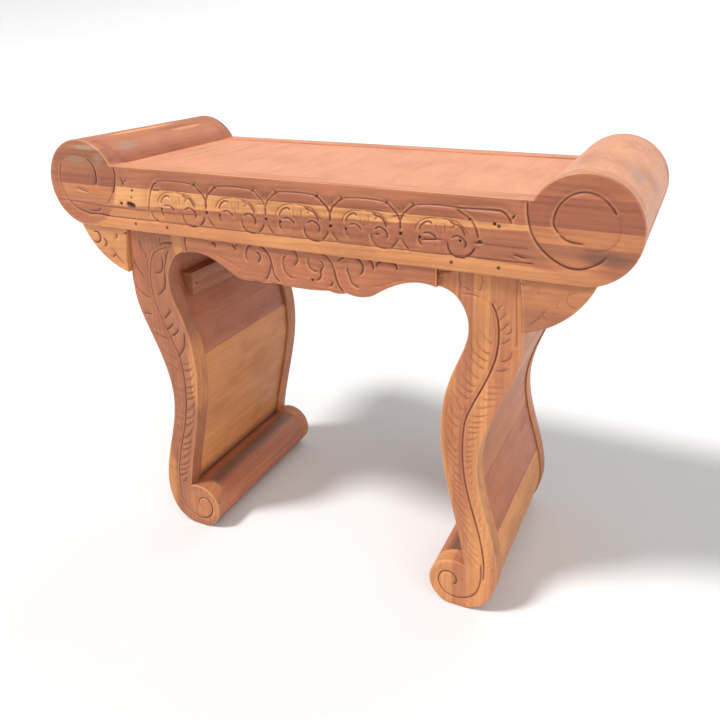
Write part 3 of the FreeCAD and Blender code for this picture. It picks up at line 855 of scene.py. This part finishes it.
def cut_across(shape, faces, axis, places):
    """Cuts flat faces along parallel lines, from the lowest place up."""
    left = faces
    normal = Vector([float(i == axis) for i in range(3)])
    for place in places:
        edges = once(edge for face in left for edge in face.edges)
        points = once(point for face in left for point in face.verts)
        cut = bmesh.ops.bisect_plane(
            shape, geom=[*left, *edges, *points], dist=WELD,
            plane_co=normal * place, plane_no=normal,
        )
        left = [
            piece for piece in cut["geom"]
            if isinstance(piece, bmesh.types.BMFace)
            and piece.calc_center_median()[axis] > place
        ]


def faces_at(shape, front):
    """The flat faces that look forwards from a board's front."""
    return [
        face for face in shape.faces
        if face.normal.y < -0.99 and abs(face.calc_center_median().y - front) < 0.01 * MM
    ]


def refine(shape, faces, relief):
    """Halves the faces wherever the relief has a cut or a worn edge."""
    shallow, short = 0.03 * relief.depth, 0.8 * MM
    edges = once(edge for face in faces for edge in face.edges)
    middles = np.array([[*(a.co + b.co).xz] for a, b in (edge.verts for edge in edges)]) / (2 * MM)
    deep = relief.read(np.maximum(relief.cuts, relief.edges), middles) > shallow
    worked = [edge for edge, cut in zip(edges, deep) if cut and edge.calc_length() > short]
    bmesh.ops.subdivide_edges(shape, edges=worked, cuts=1, use_grid_fill=True)


def outline(faces):
    """The edges round a set of faces as rows of x1, z1, x2, z2 in millimetres, without nail holes."""
    inside = set(faces)
    rim = [
        edge for face in faces for edge in face.edges
        if sum(other in inside for other in edge.link_faces) == 1
    ]
    links = {}
    for edge in rim:
        for point in edge.verts:
            links.setdefault(point, []).append(edge)
    loops, seen = [], set()
    for edge in rim:
        if edge in seen:
            continue
        loop, waiting = [], [edge]
        while waiting:
            here = waiting.pop()
            if here in seen:
                continue
            seen.add(here)
            loop.append(here)
            waiting += [other for point in here.verts for other in links[point]]
        loops.append(loop)
    longest = max(loops, key=lambda loop: sum(edge.calc_length() for edge in loop))
    return np.array([
        [a.co.x, a.co.z, b.co.x, b.co.z] for a, b in (edge.verts for edge in longest)
    ]) / MM


def in_scene(name, data):
    """An object in the scene for a mesh, a lamp or a lens."""
    thing = bpy.data.objects.new(name, data)
    bpy.context.scene.collection.objects.link(thing)
    return thing


def as_object(shape, name, material):
    """Makes the bmesh an object of one material, shaded smooth except at its sharp edges."""
    mesh = bpy.data.meshes.new(name)
    shape.to_mesh(mesh)
    shape.free()
    mesh.materials.append(material)
    mesh.shade_smooth()
    return in_scene(name, mesh)


def as_piece(shape, name, node, slot, material):
    """Makes the bmesh an object that stands for its CAD node."""
    piece = as_object(shape, name, material)
    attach(piece, "root")
    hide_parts(node)
    return piece


def carved_piece(node, name, material, carve):
    """A board with its front face carved. carve draws the cuts on the board's relief."""
    carving = bpy.context.scene.bench_carving
    cell = carving.cell
    # Shares of the lightening on the worn rim and on the cuts' outer lip: rubbing with a painted
    # highlight
    rim_wear_and_highlight_share, lip_wear_and_highlight_share = 0.2, 0.58
    low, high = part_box(node)
    face = low.y
    back_line, carved_part = face + 1.5 * carving.depth, face + 1.4 * carving.depth
    shape = merged_copy(node)
    for key in WORK:
        shape.verts.layers.float.new(key)
    carve_layer, wear_and_highlight_layer = (shape.verts.layers.float[key] for key in WORK)
    front = faces_at(shape, face)
    relief = Relief(low, high, outline(front), carving)
    for edge in shape.edges:
        edge.smooth = edge.calc_face_angle(0.0) < SHARP
    bmesh.ops.bisect_plane(
        shape, geom=[*shape.faces, *shape.edges, *shape.verts], dist=WELD,
        plane_co=(0, back_line, 0), plane_no=(0, 1, 0),
    )
    cut_across(shape, front, 0, np.arange(low.x + cell, high.x, cell))
    cut_across(shape, faces_at(shape, face), 2, np.arange(low.z + cell, high.z, cell))

    carve(relief)
    relief.round_rim()
    refine(shape, faces_at(shape, face), relief)
    near = [point for point in shape.verts if point.co.y < face + 0.2 * MM]
    places = np.array([[point.co.x, point.co.z] for point in near]) / MM
    cuts, edges, form, lip_wear_and_highlight = (
        relief.read(depths, places)
        for depths in (relief.cuts, relief.edges, relief.form, relief.lip_wear_and_highlight)
    )
    lowered = np.maximum(cuts + form, edges)
    # How much each point lightens: worn edges and cut lips, real rubbing with a painted highlight
    rubbed_and_highlit = np.maximum(edges / (rim_wear_and_highlight_share * relief.rounding), lip_wear_and_highlight_share * lip_wear_and_highlight)
    for point, down, cut, wear_and_highlight in zip(near, lowered, cuts, rubbed_and_highlit):
        point.co.y += float(down) * MM
        point[carve_layer] = float(cut) / relief.depth
        point[wear_and_highlight_layer] = min(1.0, float(wear_and_highlight))
    for edge in shape.edges:
        if any(point.co.y < carved_part for point in edge.verts):
            edge.smooth = True
    piece = as_piece(shape, name, node, "teak_carved", material)
    piece.modifiers.new("Even shading", "WEIGHTED_NORMAL").keep_sharp = True


def ease(piece, width, segments):
    """Planes a piece's sharp edges slightly round."""
    easing = piece.modifiers.new("Eased edges", "BEVEL")
    easing.limit_method = "ANGLE"
    easing.angle_limit = SHARP
    easing.width = width
    easing.segments = segments
    easing.harden_normals = True


def eased_piece(node, slot, material):
    """A plain board with its sharp edges planed slightly round."""
    piece = as_piece(merged_copy(node), f"eased_{node}", node, slot, material)
    ease(piece, bpy.context.scene.bench_carving.easing, 2)


def assign(piece, material):
    """Puts one material on a carried-over CAD piece."""
    for place in piece.material_slots:
        place.link = "OBJECT"
        place.material = material
    if not piece.material_slots:
        piece.data.materials.append(material)


# ---------------------------------------------------------------- pieces


def beyond(x, colour):
    """A layer that begins at a place along a rail instead of over it."""
    steep = -20.0
    return Layer(SCROLL_Z - steep * x, colour, steep, 10 * MM)


def rail_rim(side):
    """The edge of the front rail, at side -1, or of the back rail, at side 1, behind the carving."""
    timber = bpy.context.scene.bench_timber
    middle, half = 0.126, 0.0102
    everywhere = 3.0
    turns = SCROLL_X - SCROLL_RADIUS
    return Patch(
        (0, side * middle, SCROLL_Z), (everywhere, half, everywhere), timber.rose,
        (beyond(-turns, timber.pink), beyond(turns, timber.blush)), soft=0.02, ragged=0.0,
    )


class BENCH_OT_front_rail(bpy.types.Operator):
    """Carve the front rail with its frieze and end scrolls"""

    bl_idname = "bench.front_rail"
    bl_label = "Front rail"

    def execute(self, context):
        timber = context.scene.bench_timber
        layers = (
            Layer(0.4876, timber.orange, 0.004, 0.4 * MM),
            Layer(0.4965, timber.red, -0.043, 1.2 * MM, 0.006),
            Layer(0.5140, timber.sap, 0.033, 1.2 * MM, 0.006),
            Layer(0.5300, timber.red, 0.0, 0.25 * MM),
        )
        right_scroll = (
            Layer(0.4885, timber.orange, 0.0, 1.0 * MM, 0.003),
            Layer(0.4980, timber.dark, 0.0, 1.0 * MM, 0.004),
            Layer(0.5125, timber.orange, 0.0, 1.0 * MM, 0.003),
            Layer(0.5310, timber.deep, 0.0, 0.25 * MM),
            Layer(0.5635, timber.red, 0.0, 0.8 * MM, 0.003),
        )
        left_scroll = (
            Layer(0.4995, timber.tan, 0.0, 2.0 * MM, 0.006),
            Layer(0.5140, timber.orange, 0.0, 2.0 * MM, 0.010),
            Layer(0.5285, timber.deep, 0.0, 0.6 * MM),
            Layer(0.5450, timber.dark, 0.0, 6.0 * MM, 0.006),
        )
        # The round ends show other timber than the rail between them
        right_middle, right_disc = (0.3450, 0, 0.5415), (0.0650, 1, 0.0525)
        left_middle, left_disc = (-SCROLL_X, 0, SCROLL_Z), (SCROLL_RADIUS + MM, 1, SCROLL_RADIUS + MM)
        reach = 0.05
        patches = (
            *spots(RAIL_FACE, reach, (
                (-0.150, 0.478, 0.130, 0.012, timber.orange, 0.5, 0.7),
                (0.215, 0.544, 0.090, 0.018, timber.deep, 0.7, 0.6),
                (0.275, 0.506, 0.090, 0.016, timber.dark, 0.5, 0.8),
                (-0.250, 0.493, 0.120, 0.008, timber.gold, 0.6, 0.8),
            )),
            Patch(right_middle, right_disc, timber.gold, right_scroll, 0.02, ragged=0.0),
            Patch(left_middle, left_disc, timber.red, left_scroll, 0.10, ragged=0.0),
            *spots(RAIL_FACE, reach, (
                (-0.392, 0.518, 0.016, 0.034, timber.red, 0.5, 0.8),
                (0.365, 0.502, 0.034, 0.010, timber.dark_brown, 0.6, 0.7),
                (0.340, 0.480, 0.040, 0.009, timber.orange, 0.6, 0.8),
                (-0.325, 0.580, 0.034, 0.006, timber.grey, 0.8, 0.8),
                (-0.305, 0.566, 0.012, 0.012, timber.grey, 0.8, 0.7),
                (-0.346, 0.563, 0.026, 0.006, timber.grey, 0.8, 0.7),
                (-0.257, 0.506, 0.009, 0.005, timber.dark_brown, 0.5, 0.8),
            )),
            rail_rim(-1),
        )
        material = teak("rail_teak", timber.gold, "x", "z", 1, layers, patches, carved=True)
        carved_piece("front_rail", "carved_front_rail", material, cut_rail)
        return {"FINISHED"}


class BENCH_OT_leg_boards(bpy.types.Operator):
    """Carve the two front leg boards with their vines"""

    bl_idname = "bench.leg_boards"
    bl_label = "Front leg boards"

    def execute(self, context):
        timber = context.scene.bench_timber
        bands = {
            "left": (
                timber.red,
                (Layer(-0.262, timber.dark, 0.0, 1.5 * MM, 0.004),),
                (
                    (-0.262, 0.085, 0.020, 0.090, timber.gold, 0.5, 1.0),
                    (-0.193, 0.474, 0.011, 0.050, timber.gold, 0.2, 1.0),
                    (-0.190, 0.262, 0.010, 0.075, timber.gold, 0.6, 1.0),
                    (-0.196, 0.040, 0.034, 0.034, timber.orange, 0.5, 1.0),
                ),
            ),
            "right": (
                timber.gold,
                (
                    Layer(0.203, timber.tan, 0.0, 0.6 * MM),
                    Layer(0.223, timber.gold, 0.0, 0.6 * MM),
                    Layer(0.243, timber.orange, 0.0, 0.8 * MM, 0.004),
                ),
                (
                    (0.238, 0.120, 0.022, 0.170, timber.gold, 0.5, 1.0),
                    (0.190, 0.455, 0.016, 0.026, timber.orange, 0.3, 1.0),
                    (0.196, 0.270, 0.010, 0.070, timber.red, 0.6, 0.7),
                    (0.258, 0.360, 0.016, 0.045, timber.red, 0.7, 0.5),
                ),
            ),
        }
        face, reach = -0.13, 0.1
        for side, (first, layers, rows) in bands.items():
            material = teak(
                f"{side}_leg_teak", first, "z", "x", 2 + SIDES[side], layers,
                spots(face, reach, rows), carved=True,
            )
            carved_piece(
                f"{side}_front_leg_board", f"carved_{side}_leg_board", material,
                partial(cut_leg, side=side),
            )
        return {"FINISHED"}


class BENCH_OT_apron(bpy.types.Operator):
    """Carve the front apron with its volutes"""

    bl_idname = "bench.apron"
    bl_label = "Front apron"

    def execute(self, context):
        red = context.scene.bench_timber.red
        material = teak("apron_teak", red, "x", "z", 5, carved=True)
        carved_piece("front_apron", "carved_front_apron", material, cut_apron)
        return {"FINISHED"}


class BENCH_OT_brackets(bpy.types.Operator):
    """Carve the two front brackets"""

    bl_idname = "bench.brackets"
    bl_label = "Front brackets"

    def execute(self, context):
        timber = context.scene.bench_timber
        for side, low, high, depth in (
            ("left", timber.gold, timber.gold, 1.0),
            ("right", timber.dark, timber.orange, 0.45),
        ):
            material = teak(
                f"{side}_bracket_teak", low, "x", "z", 7 + SIDES[side],
                (Layer(0.436, high, 0.0, 8 * MM),), carved=True, figure=0.7,
            )
            carved_piece(
                f"{side}_front_bracket", f"carved_{side}_bracket", material,
                partial(cut_bracket, side=side, depth=depth),
            )
        return {"FINISHED"}


class BENCH_OT_rolls(bpy.types.Operator):
    """Turn the staves of the two end rolls"""

    bl_idname = "bench.rolls"
    bl_label = "End rolls"

    def execute(self, context):
        timber = context.scene.bench_timber
        rolls = {
            "left": (timber.rose, timber.tan, 0.55, (
                Patch((-0.330, -0.020, 0.589), (0.0045, 0.080, 0.03), timber.sap, soft=0.35),
                Patch((-0.312, 0.055, 0.583), (0.0035, 0.045, 0.02), timber.sap, soft=0.35),
                Patch((-0.303, -0.085, 0.577), (0.012, 0.030, 0.02), timber.grey, soft=0.8, share=0.7),
                Patch((-0.318, 0.030, 0.586), (0.008, 0.080, 0.02), timber.deep, soft=0.8, share=0.6),
            )),
            "right": (timber.blush, timber.rose, 0.25, (
                Patch((0.378, -0.060, 0.575), (0.014, 0.050, 0.03), timber.grey, soft=0.9, share=0.6),
                Patch((0.318, -0.020, 0.586), (0.010, 0.060, 0.03), timber.rose, soft=0.9, share=0.5),
                Patch((0.352, 0.030, 0.589), (0.020, 0.060, 0.03), timber.sap, soft=0.9, share=0.35),
            )),
        }
        for side, (upper, last, figure, streaks) in rolls.items():
            tones = [*[upper] * UPPER_STAVES, timber.red, timber.tan, last]
            for i, colour in enumerate(tones):
                node = f"{side}_roll_stave_{i + 1}"
                material = teak(
                    f"{node}_teak", colour, "y", "x", 11 + i + 7 * SIDES[side],
                    patches=streaks if i < UPPER_STAVES else (), figure=figure, mottle=1.0,
                )
                self.stave(side, i, node, material)
        return {"FINISHED"}

    def stave(self, side, i, node, material):
        """One stave: its section swept round a sixth of the roll."""
        sign = SIDES[side]
        low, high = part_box(node)
        centre = Vector((sign * SCROLL_X, 0, SCROLL_Z))
        turn = math.tau / STAVE_COUNT
        shape = bmesh.new()
        corners = [
            shape.verts.new((sign * (SCROLL_X + radius), y, SCROLL_Z))
            for radius, y in (
                (SCROLL_RADIUS - STAVE_THICK, low.y), (SCROLL_RADIUS, low.y),
                (SCROLL_RADIUS, high.y), (SCROLL_RADIUS - STAVE_THICK, high.y),
            )
        ]
        section = shape.faces.new(corners)
        way = Vector((0, -sign, 0))
        bmesh.ops.rotate(
            shape, verts=corners, cent=centre, matrix=Matrix.Rotation(turn * i, 3, way)
        )
        bmesh.ops.spin(
            shape, geom=[section, *section.edges, *corners], cent=centre, axis=way,
            angle=turn, steps=16, use_duplicate=False,
        )
        open_end = [edge for edge in shape.edges if edge.is_boundary]
        bmesh.ops.holes_fill(shape, edges=open_end)
        bmesh.ops.recalc_face_normals(shape, faces=shape.faces)
        ease(as_piece(shape, f"turned_{node}", node, "teak_round", material), 0.15 * MM, 1)


class BENCH_OT_plain_boards(bpy.types.Operator):
    """Ease the edges of the back's boards, the cleats and the feet"""

    bl_idname = "bench.plain_boards"
    bl_label = "Plain boards"

    def execute(self, context):
        timber = context.scene.bench_timber
        boards = [
            ("back_rail", "x", "z", timber.red, (rail_rim(1),), "teak_carved"),
            ("back_apron", "x", "z", timber.orange, (), "teak_carved"),
        ]
        for side, sign in SIDES.items():
            # A darker band along each foot roll where the inner planks meet it
            darkening = (Patch((sign * 0.196, 0, 0.068), (0.020, 0.3, 0.014), timber.dark_brown, soft=0.9),)
            boards += [
                # Orange rather than red, to lighten the step face that the front leg shades: painted
                # light
                (f"{side}_back_leg_board", "z", "x", timber.orange, (), "teak_carved"),
                (f"{side}_back_bracket", "x", "z", timber.gold, (), "teak_carved"),
                (f"{side}_foot_roll", "y", "x", timber.red, darkening, "teak_round"),
                # The cleats take the dark tone for the apron's shadow over them: painted shade
                (f"{side}_leg_cleat", "y", "z", timber.dark, (), "teak_frame"),
            ]
        for seed, (node, grain, across, colour, patches, slot) in enumerate(boards, 30):
            material = teak(
                f"{node}_teak", colour, grain, across, seed, patches=patches, mottle=0.7
            )
            eased_piece(node, slot, material)
        return {"FINISHED"}


class BENCH_OT_leg_panels(bpy.types.Operator):
    """Ease the edges of the legs' inner planks and outer slats"""

    bl_idname = "bench.leg_panels"
    bl_label = "Leg panels"

    def execute(self, context):
        timber = context.scene.bench_timber
        panels = {
            # The lowest inner plank is gold, a lighter tone standing for light inside the leg: painted
            # light
            "leg_inner_plank": (timber.gold, timber.red, timber.tan),
            "leg_outer_slat": (timber.gold, timber.red, timber.tan, timber.tan, timber.orange),
        }
        boards = [
            (f"{side}_{kind}_{i}", colour)
            for side in SIDES
            for kind, colours in panels.items()
            for i, colour in enumerate(colours, 1)
        ]
        for seed, (node, colour) in enumerate(boards, 81):
            first, layers = colour, ()
            if node.endswith("plank_1"):  # darker at its foot, where it meets the foot roll
                first, layers = timber.dark_brown, (Layer(0.074, colour, 0.0, 12 * MM, 0.012),)
            material = teak(f"{node}_teak", first, "y", "z", seed, layers, figure=0.6, mottle=0.8)
            eased_piece(node, "teak_plank", material)
        return {"FINISHED"}


class BENCH_OT_planed_timber(bpy.types.Operator):
    """Finish the top and the hidden frame"""

    bl_idname = "bench.planed_timber"
    bl_label = "Planed timber"

    def execute(self, context):
        timber = context.scene.bench_timber
        shades = (
            Patch((-0.236, 0.000, 0.5565), (0.009, 0.10, 0.05), timber.grey, soft=0.9, share=0.6),
            Patch((-0.196, 0.040, 0.5565), (0.008, 0.08, 0.05), timber.tan, soft=0.9, share=0.6),
            Patch((-0.150, 0.075, 0.5565), (0.012, 0.05, 0.05), timber.tan, soft=0.9, share=0.4),
        )
        for seed, (node, piece) in enumerate(sorted(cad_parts.items()), 50):
            if piece.hide_render or "nails" in node:  # remade already, or of steel
                continue
            grain, across = ("x", "z") if node == "ledgers" else ("y", "x")
            colour, look = timber.tan, {}
            if "top_board" in node:
                colour, look = timber.pink, {"patches": shades, "figure": 0.25, "mottle": 0.5}
            assign(piece, teak(f"{node}_teak", colour, grain, across, seed, **look))
        return {"FINISHED"}


class BENCH_OT_nails(bpy.types.Operator):
    """Give the nails their steel"""

    bl_idname = "bench.nails"
    bl_label = "Nails"

    def execute(self, context):
        steel = nail_steel()
        for node in ("rail_nails", "cleat_nails"):
            assign(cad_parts[node], steel)
        return {"FINISHED"}


class BENCH_OT_stage(bpy.types.Operator):
    """Lay the floor, hang the lights and place the camera"""

    bl_idname = "bench.stage"
    bl_label = "Stage"

    def execute(self, context):
        settings = context.scene.bench_stage
        self.floor(settings)
        self.lights(settings)
        self.camera()
        context.scene.view_settings.view_transform = "Standard"
        return {"FINISHED"}

    def floor(self, settings):
        """A round floor that sweeps up into a wall all the way round."""
        shape = bmesh.new()
        flat, sweep, wall, steps = 5.0, 1.6, 3.0, 8
        inside = Vector((0, 0, wall / 2))
        points = [(0.0, 0.0), (flat, 0.0)]
        for i in range(1, steps + 1):
            angle = math.pi / 2 * i / steps
            points.append((flat + sweep * math.sin(angle), sweep * (1 - math.cos(angle))))
        points.append((flat + sweep, wall))
        line = [shape.verts.new((x, 0, z)) for x, z in points]
        edges = [shape.edges.new(pair) for pair in zip(line, line[1:])]
        bmesh.ops.spin(
            shape, geom=[*line, *edges], cent=(0, 0, 0), axis=(0, 0, 1), angle=math.tau,
            steps=72, use_merge=True, use_duplicate=False,
        )
        bmesh.ops.remove_doubles(shape, verts=shape.verts, dist=MM)
        for face in shape.faces:
            face.normal_update()
            if face.normal.dot(inside - face.calc_center_median()) < 0:
                face.normal_flip()
        pale = Finish("pale_floor").surface({
            "Base Color": opaque(settings.floor), "Roughness": 0.9, "Specular IOR Level": 0.2,
        })
        floor = as_object(shape, "floor", pale)
        floor.visible_shadow = False

    def lights(self, settings):
        """A white surround and three lamps."""
        world = bpy.data.worlds.new("surround")
        world.use_nodes = True
        sky = world.node_tree.nodes["Background"]
        sky.inputs["Color"].default_value = (1.0, 1.0, 1.0, 1.0)
        sky.inputs["Strength"].default_value = settings.sky
        bpy.context.scene.world = world
        # Each lamp shines from its place towards the floor's middle, spread over some degrees
        for name, place, spread, power in (
            ("key", (-1.1, -1.15, 2.45), 11.0, settings.key),
            ("fill", (1.6, -1.2, 1.2), 50.0, settings.fill),
            ("rim", (0.4, 1.8, 2.0), 40.0, settings.rim),
        ):
            lamp = bpy.data.lights.new(name, "SUN")
            lamp.angle = math.radians(spread)
            lamp.energy = power
            light = in_scene(name, lamp)
            light.location = place
            light.rotation_euler = (-light.location).to_track_quat("-Z", "Y").to_euler()

    def camera(self):
        """The camera in front of the bench, to the right and over it."""
        lens = bpy.data.cameras.new("camera")
        lens.sensor_width = 36.0
        lens.lens = 36.43
        lens.shift_x = -0.0314
        lens.shift_y = -0.125
        lens.clip_start = 0.02
        camera = in_scene("camera", lens)
        place = (0.4537, -0.8679, 0.7319)
        yaw, pitch, roll = 0.4352, 0.3259, -0.0172
        camera.matrix_world = (
            Matrix.Translation(place)
            @ Matrix.Rotation(yaw, 4, "Z")
            @ Matrix.Rotation(math.pi / 2 - pitch, 4, "X")
            @ Matrix.Rotation(roll, 4, "Z")
        )
        bpy.context.scene.camera = camera


PIECES = (
    BENCH_OT_front_rail,
    BENCH_OT_leg_boards,
    BENCH_OT_apron,
    BENCH_OT_brackets,
    BENCH_OT_rolls,
    BENCH_OT_plain_boards,
    BENCH_OT_leg_panels,
    BENCH_OT_planed_timber,
    BENCH_OT_nails,
    BENCH_OT_stage,
)
SETTINGS = {
    "bench_carving": BenchCarving,
    "bench_timber": BenchTimber,
    "bench_stage": BenchStage,
}


class BENCH_PT_pieces(bpy.types.Panel):
    """The bench's pieces, in the order in which they are made"""

    bl_idname = "BENCH_PT_pieces"
    bl_label = "Carved scroll bench"
    bl_space_type = "VIEW_3D"
    bl_region_type = "UI"
    bl_category = "Bench"

    def draw(self, context):
        for name, group in SETTINGS.items():
            settings = getattr(context.scene, name)
            column = self.layout.column()
            for key in group.__annotations__:
                column.prop(settings, key)
        for piece in PIECES:
            self.layout.operator(piece.bl_idname)


def register():
    for group in SETTINGS.values():
        bpy.utils.register_class(group)
    for piece in (*PIECES, BENCH_PT_pieces):
        bpy.utils.register_class(piece)
    for name, group in SETTINGS.items():
        setattr(bpy.types.Scene, name, bpy.props.PointerProperty(type=group))


def unregister():
    for name in SETTINGS:
        delattr(bpy.types.Scene, name)
    for piece in (BENCH_PT_pieces, *PIECES):
        bpy.utils.unregister_class(piece)
    for group in SETTINGS.values():
        bpy.utils.unregister_class(group)


def main():
    register()
    bpy.ops.bench.front_rail()
    bpy.ops.bench.leg_boards()
    bpy.ops.bench.apron()
    bpy.ops.bench.brackets()
    bpy.ops.bench.rolls()
    bpy.ops.bench.plain_boards()
    bpy.ops.bench.leg_panels()
    bpy.ops.bench.planed_timber()
    bpy.ops.bench.nails()
    bpy.ops.bench.stage()


if __name__ == "__main__":
    main()
